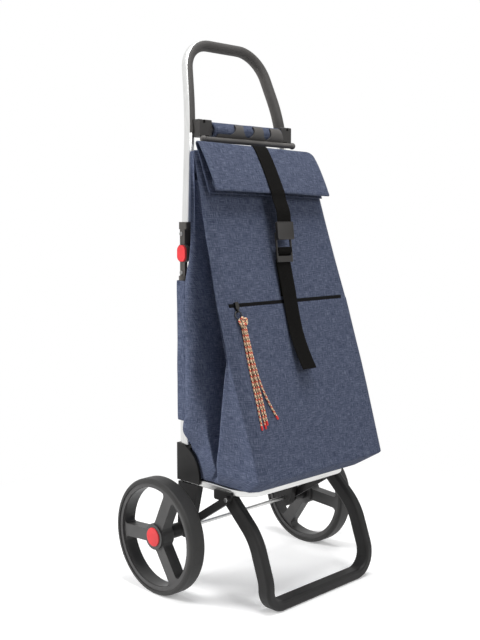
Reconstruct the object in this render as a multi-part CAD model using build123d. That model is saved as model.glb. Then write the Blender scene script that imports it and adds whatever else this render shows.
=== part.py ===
from build123d import *
import os
from math import atan, cos, degrees, hypot, radians, sin, tan

# Shopping trolley on two large wheels, all lengths in millimetres, +Z up.
# The front faces -Y. Y values below are counted from the axle, and every piece
# is shifted by axle_offset when written, so the origin is the middle of the floor space.

# Wheels and axle
wheel_radius = 115.0
wheel_width = 36.0
wheel_outer_x = 236.0
tyre_depth = 9.0
tyre_edge_radius = 6.0
rim_depth = 8.0
rim_inset = 2.0
web_thickness = 24.0
spoke_count = 3
spoke_width = 25.0
spoke_corner_radius = 9.0
window_lip = 1.0
left_spoke_angle = -4.5
right_spoke_angle = -56.0
hub_radius = 25.0
hub_button_radius = 18.5
hub_button_thickness = 10.0
hub_button_stand_out = 2.0
button_travel = 3.0
button_clearance = 0.35
axle_radius = 4.0
running_clearance = 0.06
thrust_clearance = 0.4
spacer_radius = 14.0

# Base rail, a rounded U seen from above
rail_half_width = 147.0
rail_front = 172.0
rail_back = 6.0
rail_width = 12.0
rail_height = 13.0
rail_bottom = 209.0
rail_wall = 1.5
rail_corner_radius = 42.0

# Rear corner plates
plate_thickness = 28.0
plate_web = 4.5
plate_bag_gap = 0.4
plate_front = 48.0
plate_back = 17.0
plate_bottom = 213.0
plate_top = 288.0
plate_top_length = 10.0
plate_bulge = 14.0

# Axle brackets and struts
bracket_thickness = 16.0
bracket_front = 42.0
bracket_back = 16.0
bracket_eye_radius = 19.0
strut_height = 15.0
strut_thickness = 8.0
strut_gap = 0.4
strut_pin_y = -134.0
strut_pin_z = 203.0
strut_pin_radius = 3.0
rivet_head_radius = 4.5
rivet_head_height = 1.6

# Front stand, a moulded U with curved legs
stand_leg_inset = 1.0
stand_reach = 222.0
stand_width = 20.0
stand_depth = 30.0
stand_edge_radius = 6.0
stand_corner_radius = 36.0
stand_bend_radius = 110.0
stand_ankle_z = 58.0
stand_ankle_radius = 60.0
stand_knee_y = -194.0
stand_knee_z = 138.0
stand_top_y = -118.0
saddle_front = 140.0
saddle_back = 92.0
saddle_depth = 13.0
saddle_wall = 5.0
leg_top_gap = 2.0

# Frame tubes
tube_y = 5.0
tube_inset = 4.0
lower_tube_radius = 11.0
upper_tube_radius = 10.0
tube_wall = 1.5
tube_foot_z = 228.0

# Folding hinge between the lower and upper tubes
hinge_z = 665.0
hinge_disc_radius = 14.5
hinge_button_half_width = 12.3
hinge_button_half_height = 16.3
hinge_button_round = 10.8
hinge_button_rim = 2.2
hinge_button_thickness = 6.0
hinge_button_stand_out = 4.0
hinge_button_travel = 2.2
hinge_layer_gap = 0.4
hinge_swing_gap = 0.5
hinge_outer_thickness = 7.0
hinge_inner_thickness = 18.0
hinge_arm_half_width = 7.0
lower_socket_reach = 44.0
lower_socket_length = 10.0
upper_socket_reach = 47.0
upper_socket_length = 14.0
socket_wall = 1.5
hinge_pin_radius = 4.0
hinge_pin_head = 8.0
hinge_pin_head_height = 2.5
hinge_rivet_y = 8.0
hinge_rivet_low_z = 627.0
hinge_rivet_high_z = 703.0

# Handle, bent back above the hanger and narrowing to the top
upper_tube_shift = 5.0
handle_bend_inset = 8.0
handle_bend_y = 3.0
handle_bend_z = 925.0
handle_corner_inset = 30.0
handle_top_y = 49.5
handle_top_z = 1080.0
handle_bend_radius = 380.0
handle_corner_radius = 70.0
grip_thickness = 1.6
grip_clearance = 0.1
grip_cover_angle = 210.0
grip_turn = 20.0
grip_start_z = 898.0

# Hanger across the tubes, with the cloth loop of the bag rolled round it
hanger_y = -17.0
hanger_z = 904.0
hanger_bar_radius = 8.0
hanger_block_length = 32.0
hanger_block_top = 923.0
hanger_block_bottom = 889.0
hanger_block_front = 25.0
hanger_block_back = 2.0
hanger_block_edge = 3.0
block_slot_width = 6.0
block_slot_depth = 7.0
block_slot_inset = 9.0
block_step_height = 4.0
block_step_length = 20.0
loop_outer_radius = 16.5
loop_clearance = 0.2
loop_end_gap = 2.0
cover_thickness = 3.2
cover_left_inset = 8.0
cover_right_inset = 1.0
cover_step_z = 896.5
cover_step_x = -58.0
cover_step_radius = 15.0
cover_middle_x = -6.5
cover_middle_z = 909.0
cover_middle_radius = 15.5
cover_notch_x = 46.0
cover_notch_z = 904.0
cover_notch_radius = 11.0
cover_slope_width = 15.0
cover_slope_bottom = 892.0
cover_start_angle = 140.0
cover_end_angle = 245.0
hook_rod_radius = 5.5
hook_rod_y = -31.5
hook_rod_z = 884.5
hook_end_inset = 4.0
hook_knob_radius = 7.0
loop_tail_bottom = 872.0
loop_tail_front = 13.0
loop_tail_thickness = 3.0

# Bag, a cloth wedge with pleated sides
cloth = 2.5
bag_bottom_z = rail_bottom + rail_height
bag_bottom_overhang = 5.0
bag_bottom_front = 188.0
bag_fold_z = 252.0
bag_fold_half_width = 180.0
bag_fold_front = 231.82
bag_pleat_z = 470.0
bag_pleat_bulge = 9.0
bag_pleat_inset = 56.0
bag_pleat_crease = 92.0
bag_top_z = 870.0
bag_top_half_width = 161.0
bag_top_front = 50.0
bag_back = 15.5
bag_back_overhang = 4.0
bag_fold_inset = 38.0
bag_fold_crease = 77.0
bag_bottom_inset = 5.0
bag_top_inset = 13.0
bag_top_crease = 33.0
mouth_half_width = 142.0
mouth_bottom_z = 802.0
mouth_top_z = 861.0
board_thickness = 3.0
board_margin = 4.0
sleeve_bottom_z = 334.0
sleeve_size = 28.0
sleeve_corner_radius = 10.0
sleeve_clearance = 0.3
sleeve_web_half_width = 7.0

# Fold-over flap
flap_half_width = 160.0
flap_bead_radius = 4.5
flap_bead_gap = 0.8
flap_bead_drop = 1.5
flap_sheet = 4.0
flap_hem_z = 775.0
flap_stand_off = 30.0

# Closing strap and buckle
strap_width = 40.0
strap_thickness = 1.8
strap_gap = 0.3
buckle_width = 46.0
buckle_top_y = -123.0
buckle_top_z = 726.0
buckle_bottom_y = -132.0
buckle_bottom_z = 648.0
hook_plate_length = 35.0
hook_plate_thickness = 7.0
loop_plate_thickness = 4.4
loop_lap = 15.0
loop_side = 5.0
loop_end = 4.0
loop_cross_top = -9.5
loop_cross_bottom = -17.0
loop_bar = 12.2
tail_zip_off = 7.0
tail_rest_off = 5.0
tail_rest_z = 505.0
tail_end_off = 20.0
tail_end_z = 437.0
anchor_off = 2.2

# Pocket zip with its slider, ring and cord pull
zip_z = 570.0
zip_half_length = 162.0
zip_width = 10.0
zip_thickness = 1.6
slider_x = -146.0
slider_length = 14.0
slider_width = 9.0
slider_thickness = 5.0
slider_gap = 0.3
lug_length = 6.0
lug_thickness = 2.6
lug_hole_radius = 1.9
ring_radius = 8.0
ring_wire_radius = 1.0
knot_radius = 9.5
knot_length = 18.0
knot_edge = 4.0
knot_shift = 5.0
knot_lift = 10.2
knot_grip = 3.0
ring_clearance = 0.1
slider_corner_radius = 2.5
cord_diameter = 4.0
cord_sink = 0.5
cord_bend_share = 0.45
tip_length = 9.0
tip_dome = 0.2

# Small allowances: how far joined forms run into each other, and worn edges
overlap = 1.0
rivet_dome = 0.8
button_edge_radius = 1.5
hook_corner_radius = 3.0
hook_edge_radius = 1.5
loop_bar_lap = 0.5

# Worked out from the sizes above
axle_z = wheel_radius
stand_half_width = rail_half_width - stand_leg_inset
lower_tube_x = rail_half_width - tube_inset
hinge_layer_x = lower_tube_x
upper_tube_x = lower_tube_x - upper_tube_shift
handle_bend_x = upper_tube_x - handle_bend_inset
handle_corner_x = handle_bend_x - handle_corner_inset
hanger_block_inner_x = handle_bend_x - hanger_block_length
loop_half_length = hanger_block_inner_x - loop_end_gap
hook_half_length = handle_bend_x - hook_end_inset
cover_left_x = -hanger_block_inner_x + cover_left_inset
cover_right_x = hanger_block_inner_x - cover_right_inset
bag_bottom_half_width = rail_half_width + bag_bottom_overhang
bag_back_half_width = lower_tube_x + bag_back_overhang
wheel_mid_x = wheel_outer_x - wheel_width / 2
wheel_inner_x = wheel_outer_x - wheel_width
rim_radius = wheel_radius - tyre_depth
hub_inner_x = wheel_inner_x + rim_inset
hub_outer_x = wheel_outer_x - rim_inset
rail_mid_z = rail_bottom + rail_height / 2
rail_top = rail_bottom + rail_height
stand_front = stand_reach + stand_depth / 2
axle_offset = (stand_front - wheel_radius) / 2
bracket_mid_x = rail_half_width
bracket_outer_x = bracket_mid_x + bracket_thickness / 2
saddle_half = rail_width / 2 + saddle_wall
saddle_outer_x = rail_half_width + saddle_half
strut_inner_x = max(saddle_outer_x, bracket_outer_x) + strut_gap
strut_outer_x = strut_inner_x + strut_thickness
hinge_outer_x = hinge_layer_x + hinge_outer_thickness
oval_corner_y = hinge_button_half_width - hinge_button_round
oval_corner_z = hinge_button_half_height - hinge_button_round
oval_reach = Vector(oval_corner_y, oval_corner_z).length + hinge_button_round + hinge_button_rim
hinge_swing_radius = oval_reach + hinge_swing_gap
upper_foot_z = hinge_z + upper_socket_reach
lower_head_z = hinge_z - lower_socket_reach
grip_radius = upper_tube_radius + grip_clearance + grip_thickness
panel_slope = (bag_fold_front - bag_top_front) / (bag_top_z - bag_fold_z)


def panel_y(z):
    """Y of the bag's flat front panel at a height."""
    return -bag_top_front - panel_slope * (bag_top_z - z)


panel_normal = Vector(0, -1, panel_slope).normalized()
panel_up = Vector(0, panel_slope, 1).normalized()


def panel_frame(z):
    """Frame on the front panel: x across, y up the panel, z out of it."""
    return Plane(origin=(0, panel_y(z), z), x_dir=(1, 0, 0), z_dir=panel_normal)


def write(name, shape):
    """Shift a piece to the written origin and save it as one node."""
    export_step(Pos(0, axle_offset, 0) * shape, os.path.join("parts", name + ".step"))


def write_pair(name, left_piece):
    """Save a left-hand piece and its mirror image."""
    write(name + "_left", left_piece)
    write(name + "_right", mirror(left_piece, about=Plane.YZ))


def write_both(name, left_piece):
    """Save a left-hand piece and its mirror image together as one node."""
    write(name, Compound(children=[left_piece, mirror(left_piece, about=Plane.YZ)]))


def rod_x(x_from, x_to, y, z, radius):
    """Round bar along X between two x positions."""
    face = Plane.YZ.offset(min(x_from, x_to)) * Pos(y, z) * Circle(radius)
    return extrude(face, amount=abs(x_to - x_from))


def plate_x(x_from, x_to, sketch):
    """Plate between two x positions from an outline drawn in Y and Z."""
    return extrude(Plane.YZ.offset(min(x_from, x_to)) * sketch, amount=abs(x_to - x_from))


def box_between(low, high):
    """Box from its lowest to its highest corner."""
    size = [b - a for a, b in zip(low, high)]
    middle = [(a + b) / 2 for a, b in zip(low, high)]
    return Pos(*middle) * Box(*size)


def swept(path, section, across=(1, 0, 0)):
    """Sweep a section, drawn about its own centre, along a path."""
    start = Plane(origin=path @ 0, x_dir=across, z_dir=path % 0)
    return sweep(start * section, path=path)


def slanted_bar(start, end, half_width):
    """Outline in Y and Z of a bar with round ends."""
    dy = end[0] - start[0]
    dz = end[1] - start[1]
    turn = degrees(atan(dz / dy))
    middle = Pos((start[0] + end[0]) / 2, (start[1] + end[1]) / 2) * Rot(0, 0, turn)
    return middle * SlotCenterToCenter(hypot(dy, dz), 2 * half_width)


def tyre():
    """Rubber tread ring with rounded shoulders, at the left wheel."""
    ring = rod_x(-wheel_outer_x, -wheel_inner_x, 0, axle_z, wheel_radius)
    ring = fillet(ring.edges().filter_by(GeomType.CIRCLE), tyre_edge_radius)
    return ring - rod_x(-wheel_outer_x, -wheel_inner_x, 0, axle_z, rim_radius)


def spoke_window(middle_angle):
    """One opening between two spokes, with rounded corners, about the hub."""
    half = radians(180 / spoke_count)
    reach = 2 * rim_radius
    wedge = Polygon(
        (0, 0),
        (reach * cos(half), -reach * sin(half)),
        (reach * cos(half), reach * sin(half)),
        align=None,
    )
    apart = spoke_width / 2 / sin(half)
    window = (Pos(apart, 0) * wedge) & Circle(rim_radius - rim_depth - window_lip)
    window -= Circle(hub_radius + window_lip)
    window = fillet(window.vertices(), spoke_corner_radius)
    return Rot(0, 0, middle_angle) * window


def wheel_rim(spoke_angle):
    """Moulded rim with spokes, hub bore and the recess of the release button."""
    rim = rod_x(-hub_outer_x, -hub_inner_x, 0, axle_z, rim_radius)
    dish = Pos(0, axle_z) * (Circle(rim_radius - rim_depth) - Circle(hub_radius))
    half = web_thickness / 2
    rim -= plate_x(-hub_outer_x, -wheel_mid_x - half, dish)
    rim -= plate_x(-wheel_mid_x + half, -hub_inner_x, dish)
    for index in range(spoke_count):
        window = spoke_window((index + 0.5) * 360 / spoke_count)
        rim -= plate_x(-hub_outer_x, -hub_inner_x, Pos(0, axle_z) * window)
    rim -= rod_x(-hub_outer_x, -hub_inner_x, 0, axle_z, axle_radius + running_clearance)
    recess = hub_button_thickness - hub_button_stand_out + button_travel + button_clearance
    rim -= rod_x(-hub_outer_x, -hub_outer_x + recess, 0, axle_z, hub_button_radius + button_clearance)
    return rim.rotate(Axis((0, 0, axle_z), (1, 0, 0)), spoke_angle)


def round_button(outer_x, thickness, y, z, radius, edge):
    """Push button with a rounded rim on its outer face, on the left."""
    button = rod_x(-outer_x, -outer_x + thickness, y, z, radius)
    return fillet(button.edges().filter_by(GeomType.CIRCLE).sort_by(Axis.X)[0], edge)


def rail_bar(margin, corner):
    """Solid bar along the rail's U, thinner than the rail by a margin."""
    path = FilletPolyline(
        (-rail_half_width, rail_back, rail_mid_z),
        (-rail_half_width, -rail_front, rail_mid_z),
        (rail_half_width, -rail_front, rail_mid_z),
        (rail_half_width, rail_back, rail_mid_z),
        radius=rail_corner_radius,
    )
    return swept(path, RectangleRounded(rail_width - 2 * margin, rail_height - 2 * margin, corner))


def base_rail():
    """Aluminium tube bent to a U that carries the bag."""
    return rail_bar(0, rail_wall + overlap) - rail_bar(rail_wall, overlap)


def corner_plate():
    """Moulded corner that joins the left tube to the end of the rail."""
    top_front = (-(plate_top_length - plate_back), plate_top)
    toe = (-plate_front, plate_bottom)
    middle = ((top_front[0] + toe[0]) / 2, (top_front[1] + toe[1]) / 2)
    bulge = (middle[0] - plate_bulge, middle[1] + plate_bulge)
    outline = Polyline(toe, (plate_back, plate_bottom), (plate_back, plate_top), top_front)
    sketch = make_face(outline + ThreePointArc(top_front, bulge, toe))
    inner_x = lower_tube_x - plate_thickness / 2
    outer_x = inner_x + plate_thickness
    plate = plate_x(-outer_x, -inner_x, sketch)
    plate -= box_between(
        (-outer_x + plate_web, -plate_front - plate_bulge, bag_bottom_z - plate_bag_gap),
        (-inner_x, -bag_back + plate_bag_gap, plate_top),
    )
    plate -= Pos(-lower_tube_x, tube_y, (tube_foot_z + plate_top) / 2 + overlap) * Cylinder(
        lower_tube_radius, plate_top - tube_foot_z + 2 * overlap
    )
    channel_low = (-rail_half_width - rail_width / 2, -plate_front - overlap, rail_bottom)
    channel_high = (-rail_half_width + rail_width / 2, rail_back, rail_top)
    return plate - box_between(channel_low, channel_high)


def axle_bracket():
    """Arm under the rail that carries the axle."""
    arm = Polygon(
        (-bracket_front, rail_bottom),
        (-bracket_eye_radius, axle_z),
        (bracket_eye_radius, axle_z),
        (bracket_back, rail_bottom),
        align=None,
    )
    outline = arm + Pos(0, axle_z) * Circle(bracket_eye_radius)
    outline -= Pos(0, axle_z) * Circle(axle_radius + running_clearance)
    inner_x = bracket_mid_x - bracket_thickness / 2
    return plate_x(-bracket_outer_x, -inner_x, outline)


def stand_strut():
    """Flat brace from the stand's leg to the axle."""
    start = (strut_pin_y, strut_pin_z)
    outline = slanted_bar(start, (0, axle_z), strut_height / 2)
    outline -= Pos(*start) * Circle(strut_pin_radius + running_clearance)
    outline -= Pos(0, axle_z) * Circle(axle_radius + running_clearance)
    return plate_x(-strut_outer_x, -strut_inner_x, outline)


def front_stand():
    """Moulded U: saddles on the rail, curved legs and a bar on the floor."""
    bar_z = stand_width / 2
    top_z = rail_bottom
    leg = [
        (stand_top_y, top_z),
        (stand_knee_y, stand_knee_z),
        (-stand_reach, stand_ankle_z),
        (-stand_reach, bar_z),
    ]
    points = [(-stand_half_width, y, z) for y, z in leg]
    points += [(stand_half_width, y, z) for y, z in reversed(leg)]
    bends = [stand_bend_radius, stand_ankle_radius, stand_corner_radius]
    path = FilletPolyline(*points, radius=bends + bends[::-1])
    stand = swept(path, RectangleRounded(stand_width, stand_depth, stand_edge_radius))
    for side in (-1, 1):
        stand -= box_between(
            (side * stand_half_width - stand_width, -saddle_front, rail_bottom - leg_top_gap),
            (side * stand_half_width + stand_width, 0, rail_top + stand_depth),
        )
        middle = side * rail_half_width
        saddle = box_between(
            (middle - saddle_half, -saddle_front, rail_bottom - saddle_depth),
            (middle + saddle_half, -saddle_back, rail_bottom + rail_height / 2),
        )
        saddle = fillet(saddle.edges().filter_by(Axis.X), saddle_wall - overlap)
        stand += saddle
        stand -= rod_x(
            middle - saddle_half,
            middle + saddle_half,
            strut_pin_y,
            strut_pin_z,
            strut_pin_radius + running_clearance,
        )
    return stand - rail_bar(0, rail_wall + overlap)


def domed_rivet(outer_x, y, z, shank_to_x):
    """Rivet on the left: shank with a low round head on the outside."""
    head = rod_x(-outer_x - rivet_head_height, -outer_x, y, z, rivet_head_radius)
    head = fillet(head.edges().filter_by(GeomType.CIRCLE).sort_by(Axis.X)[0], rivet_head_height * rivet_dome)
    return head + rod_x(-outer_x, -shank_to_x, y, z, strut_pin_radius)


def lower_tube():
    """Round aluminium tube from the corner plate up into the hinge."""
    height = lower_head_z - socket_wall - tube_foot_z
    ring = Circle(lower_tube_radius) - Circle(lower_tube_radius - tube_wall)
    return extrude(Pos(-lower_tube_x, tube_y, tube_foot_z) * ring, amount=height)


def rivet_hole(outer_x, inner_x, z):
    """Bore for a rivet through a hinge arm."""
    return rod_x(-outer_x, -inner_x, hinge_rivet_y, z, strut_pin_radius + running_clearance)


def hinge_oval(outer_x, inner_x, margin):
    """Upright oval block about the left hinge's axis, larger than the button by a margin."""
    outline = RectangleRounded(
        2 * (hinge_button_half_width + margin),
        2 * (hinge_button_half_height + margin),
        hinge_button_round + margin,
    )
    face = Plane(origin=(-outer_x, tube_y, hinge_z), x_dir=(0, 1, 0), z_dir=(1, 0, 0))
    return extrude(face * outline, amount=outer_x - inner_x)


def hinge_lower():
    """Lower hinge half: outer oval with the button's recess, arm and the collar on the lower tube."""
    oval = hinge_oval(hinge_outer_x, hinge_layer_x, hinge_button_rim)
    arm = box_between(
        (-hinge_outer_x, tube_y - hinge_arm_half_width, lower_head_z - overlap),
        (-hinge_layer_x, tube_y + hinge_arm_half_width, hinge_z),
    )
    collar = Cylinder(lower_tube_radius + socket_wall, lower_socket_length)
    half_hinge = oval + arm + Pos(-lower_tube_x, tube_y, lower_head_z - lower_socket_length / 2) * collar
    bore_z = lower_head_z - socket_wall - lower_socket_length / 2
    half_hinge -= Pos(-lower_tube_x, tube_y, bore_z) * Cylinder(lower_tube_radius, lower_socket_length)
    half_hinge -= rivet_hole(hinge_outer_x, hinge_layer_x, hinge_rivet_low_z)
    recess = hinge_button_thickness - hinge_button_stand_out + hinge_button_travel + button_clearance
    return half_hinge - hinge_oval(hinge_outer_x, hinge_outer_x - recess, button_clearance)


def hinge_pin():
    """Pivot between the two hinge halves, headed on the inside."""
    outer = hinge_layer_x
    inner = hinge_layer_x - 2 * hinge_layer_gap - hinge_inner_thickness
    pin = rod_x(-outer, -inner, tube_y, hinge_z, hinge_pin_radius)
    return pin + rod_x(-inner, -inner + hinge_pin_head_height, tube_y, hinge_z, hinge_pin_head)


def hinge_upper():
    """Upper hinge half: inner disc, arm with its outer plate, and the socket on the handle tube."""
    outer = hinge_layer_x - hinge_layer_gap
    inner = outer - hinge_inner_thickness
    disc = rod_x(-outer, -inner, tube_y, hinge_z, hinge_disc_radius)
    plate = box_between(
        (-hinge_outer_x, tube_y - hinge_arm_half_width, hinge_z),
        (-outer + overlap, tube_y + hinge_arm_half_width, upper_foot_z + overlap),
    )
    plate -= rod_x(-hinge_outer_x, -outer, tube_y, hinge_z, hinge_swing_radius)
    arm = box_between(
        (-outer, tube_y - hinge_arm_half_width, hinge_z),
        (-inner, tube_y + hinge_arm_half_width, upper_foot_z + overlap),
    )
    half = upper_tube_radius + socket_wall
    socket = box_between(
        (-upper_tube_x - half, tube_y - half, upper_foot_z),
        (-upper_tube_x + half, tube_y + half, upper_foot_z + upper_socket_length),
    )
    socket = fillet(socket.edges().filter_by(Axis.Z), socket_wall + overlap)
    half_hinge = disc + arm + plate + socket
    half_hinge -= rivet_hole(hinge_outer_x, inner, hinge_rivet_high_z)
    half_hinge -= rod_x(-outer, -inner, tube_y, hinge_z, hinge_pin_radius + running_clearance)
    return half_hinge - handle_stub(upper_tube_radius)


def handle_path():
    """Centre line of the handle tube: up, bent back, and over the top."""
    side = [
        (upper_tube_x, tube_y, upper_foot_z),
        (handle_bend_x, handle_bend_y, handle_bend_z),
        (handle_corner_x, handle_top_y, handle_top_z),
    ]
    points = [(-x, y, z) for x, y, z in side] + side[::-1]
    radii = [handle_bend_radius, handle_corner_radius]
    return FilletPolyline(*points, radius=radii + radii[::-1])


def handle_stub(radius):
    """Straight lower stretch of the left handle tube, as a solid bar."""
    path = handle_path()
    foot = Plane(origin=path @ 0, x_dir=(1, 0, 0), z_dir=path % 0)
    length = handle_bend_z - upper_foot_z
    return foot * Cylinder(radius, length, align=(Align.CENTER, Align.CENTER, Align.MIN))


def handle_tube():
    """Aluminium tube of the handle, one bend from hinge to hinge."""
    ring = Circle(upper_tube_radius) - Circle(upper_tube_radius - tube_wall)
    return swept(handle_path(), ring)


def ring_sector(inner, outer, start, size):
    """Part of a flat ring between two radii, angles in degrees."""
    far = CenterArc((0, 0), outer, start, size)
    near = CenterArc((0, 0), inner, start, size)
    return make_face([far, Line(far @ 1, near @ 1), near, Line(near @ 0, far @ 0)])


def handle_grip():
    """Soft cover on the front and inside of the handle tube."""
    inner = upper_tube_radius + grip_clearance
    start = -grip_turn - grip_cover_angle / 2
    section = ring_sector(inner, grip_radius, start, grip_cover_angle)
    reach = upper_tube_x + 2 * grip_radius
    bare = box_between((-reach, -reach, upper_foot_z - reach), (reach, reach, grip_start_z))
    return swept(handle_path(), section) - bare


def hanger_block():
    """Left end block of the hanger, shaped to the handle and its grip."""
    block = box_between(
        (-handle_bend_x, -hanger_block_front, hanger_block_bottom),
        (-hanger_block_inner_x, -hanger_block_back, hanger_block_top),
    )
    block = fillet(block.edges().filter_by(Axis.X), hanger_block_edge)
    slot_x = -handle_bend_x + block_slot_inset
    block -= box_between(
        (slot_x, -hanger_block_front, hanger_block_top - block_slot_depth),
        (slot_x + block_slot_width, -hanger_block_back, hanger_block_top),
    )
    block -= box_between(
        (-hanger_block_inner_x - block_step_length, -hanger_block_front, hanger_block_bottom),
        (-hanger_block_inner_x, hanger_y, hanger_block_bottom + block_step_height),
    )
    return block - swept(handle_path(), Circle(grip_radius + grip_clearance))


def hanger_loop():
    """Cloth loop of the bag's back, rolled round the hanger bar."""
    roll = Circle(loop_outer_radius) - Circle(hanger_bar_radius + loop_clearance)
    piece = plate_x(-loop_half_length, loop_half_length, Pos(hanger_y, hanger_z) * roll)
    tail_top = hanger_z - (hanger_bar_radius + loop_outer_radius) / 2
    tail = box_between(
        (-loop_half_length, -loop_tail_front, loop_tail_bottom),
        (loop_half_length, -loop_tail_front + loop_tail_thickness, tail_top),
    )
    return piece + tail


def hanger_cover():
    """Clip cover over the loop, with the hooking rod along its lower edge."""
    inner = loop_outer_radius + loop_clearance
    size = cover_end_angle - cover_start_angle
    shell = ring_sector(inner, inner + cover_thickness, cover_start_angle, size)
    cover = plate_x(cover_left_x, cover_right_x, Pos(hanger_y, hanger_z) * shell)
    cover += rod_x(-hook_half_length, hook_half_length, hook_rod_y, hook_rod_z, hook_rod_radius)
    for side in (-1, 1):
        cover += Pos(side * hook_half_length, hook_rod_y, hook_rod_z) * Sphere(hook_knob_radius)
    cover -= rod_x(-loop_half_length, loop_half_length, hanger_y, hanger_z, inner)
    return cover - cover_scallops(inner + cover_thickness)


def cover_scallops(reach):
    """Scallops in the cover's upper edge and the slope at its right end, as one cut."""
    top = hanger_z + reach
    step = Polygon(
        (cover_left_x, cover_step_z),
        (cover_step_x, cover_step_z),
        (cover_step_x, top),
        (cover_left_x, top),
        align=None,
    )
    step += Pos(cover_step_x, cover_step_z + cover_step_radius) * Circle(cover_step_radius)
    middle = Pos(cover_middle_x, cover_middle_z) * Circle(cover_middle_radius)
    notch = SlotCenterPoint(
        (cover_notch_x, cover_notch_z + cover_notch_radius),
        (cover_notch_x, cover_notch_z),
        2 * cover_notch_radius,
        rotation=0,
    )
    slope = Polygon(
        (cover_right_x - cover_slope_width, top),
        (cover_right_x, cover_slope_bottom),
        (cover_right_x, top),
        align=None,
    )
    outline = Plane.XZ * (step + middle + notch + slope)
    return Pos(0, hanger_y, 0) * extrude(outline, amount=2 * reach)


def bag_stations():
    """Height, half width, front, and the side crease's inset and depth at each change of form."""
    share = (bag_pleat_z - bag_fold_z) / (bag_top_z - bag_fold_z)
    pleat_half = bag_fold_half_width + share * (bag_top_half_width - bag_fold_half_width) + bag_pleat_bulge
    return [
        (bag_bottom_z, bag_bottom_half_width, bag_bottom_front, bag_bottom_inset, bag_fold_crease),
        (bag_fold_z, bag_fold_half_width, bag_fold_front, bag_fold_inset, bag_fold_crease),
        (bag_pleat_z, pleat_half, -panel_y(bag_pleat_z), bag_pleat_inset, bag_pleat_crease),
        (bag_top_z, bag_top_half_width, bag_top_front, bag_top_inset, bag_top_crease),
    ]


def bag_block(inset):
    """Pleated wedge of the bag, drawn in by an inset on every side."""
    sections = []
    for z, half, front, crease_inset, crease in bag_stations():
        lift = inset if z == bag_bottom_z else -inset if z == bag_top_z else 0
        half -= inset
        front -= inset * hypot(1, panel_slope)
        back = bag_back + inset
        back_half = bag_back_half_width - inset
        outline = Polyline(
            (-back_half, -back),
            (-half + crease_inset, -crease),
            (-half, -front),
            (half, -front),
            (half - crease_inset, -crease),
            (back_half, -back),
            close=True,
        )
        sections.append(Pos(0, 0, z + lift) * make_face(outline))
    return loft(sections, ruled=True)


def bag_body():
    """Cloth bag, hollow, with its mouth in the front under the flap."""
    bag = bag_block(0) - bag_block(cloth)
    return bag - box_between(
        (-mouth_half_width, panel_y(mouth_bottom_z) - cloth, mouth_bottom_z),
        (mouth_half_width, panel_y(mouth_top_z) + 2 * cloth, mouth_top_z),
    )


def base_board():
    """Stiff board that lies in the bottom of the bag."""
    half = bag_back_half_width - cloth - board_margin
    floor = bag_bottom_z + cloth
    return box_between(
        (-half, -bag_bottom_front + cloth + board_margin, floor),
        (half, -bag_back - cloth - board_margin, floor + board_thickness),
    )


def tube_sleeve():
    """Cloth sleeve round the left lower tube, joined to the bag's back."""
    top = lower_head_z - lower_socket_length - sleeve_clearance
    height = top - sleeve_bottom_z
    section = RectangleRounded(sleeve_size, sleeve_size, sleeve_corner_radius)
    section -= Circle(lower_tube_radius + sleeve_clearance)
    sleeve = extrude(Pos(-lower_tube_x, tube_y, sleeve_bottom_z) * section, amount=height)
    web = box_between(
        (-lower_tube_x - sleeve_web_half_width, -bag_back, sleeve_bottom_z),
        (-lower_tube_x + sleeve_web_half_width, tube_y - lower_tube_radius - cloth, top),
    )
    return sleeve + web


def panel_point(z, up, out):
    """Y and Z of a point given along and out of the front panel."""
    return (
        panel_y(z) + up * panel_up.Y + out * panel_normal.Y,
        z + up * panel_up.Z + out * panel_normal.Z,
    )


flap_axis_z = bag_top_z - flap_bead_drop
flap_axis_out = flap_bead_radius + flap_bead_gap
flap_drop = (flap_axis_z - flap_hem_z) / panel_up.Z
flap_axis = panel_point(flap_axis_z, 0, flap_axis_out)


def bag_flap():
    """Folded-over top: a bead on the ridge, a back sheet and a front sheet."""
    front_top = flap_axis_out + flap_bead_radius
    back_sheet = Polygon(
        panel_point(flap_axis_z, 0, flap_bead_gap),
        panel_point(flap_axis_z, 0, flap_bead_gap + flap_sheet),
        panel_point(flap_axis_z, -flap_drop, flap_bead_gap + flap_sheet),
        panel_point(flap_axis_z, -flap_drop, flap_bead_gap),
        align=None,
    )
    front_sheet = Polygon(
        panel_point(flap_axis_z, 0, front_top - flap_sheet),
        panel_point(flap_axis_z, 0, front_top),
        panel_point(flap_axis_z, -flap_drop, flap_stand_off),
        panel_point(flap_axis_z, -flap_drop, flap_stand_off - flap_sheet),
        align=None,
    )
    profile = back_sheet + front_sheet + Pos(*flap_axis) * Circle(flap_bead_radius)
    return plate_x(-flap_half_width, flap_half_width, profile)


def webbing(points):
    """Strap of one width that follows points given in Y and Z."""
    outline = trace(Polyline(*points), strap_thickness)
    return plate_x(-strap_width / 2, strap_width / 2, outline)


buckle_up = Vector(0, buckle_top_y - buckle_bottom_y, buckle_top_z - buckle_bottom_z)
buckle_half = buckle_up.length / 2
buckle_up = buckle_up.normalized()
buckle_out = Vector(0, -buckle_up.Z, buckle_up.Y)
buckle_frame = Plane(
    origin=(0, (buckle_top_y + buckle_bottom_y) / 2, (buckle_top_z + buckle_bottom_z) / 2),
    x_dir=(1, 0, 0),
    z_dir=buckle_out,
)
loop_front = -strap_gap
loop_back = loop_front - loop_plate_thickness


def buckle_point(up, out):
    """Y and Z of a point given along and out of the buckle."""
    origin = buckle_frame.origin
    return (
        origin.Y + up * buckle_up.Y + out * buckle_out.Y,
        origin.Z + up * buckle_up.Z + out * buckle_out.Z,
    )


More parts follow.
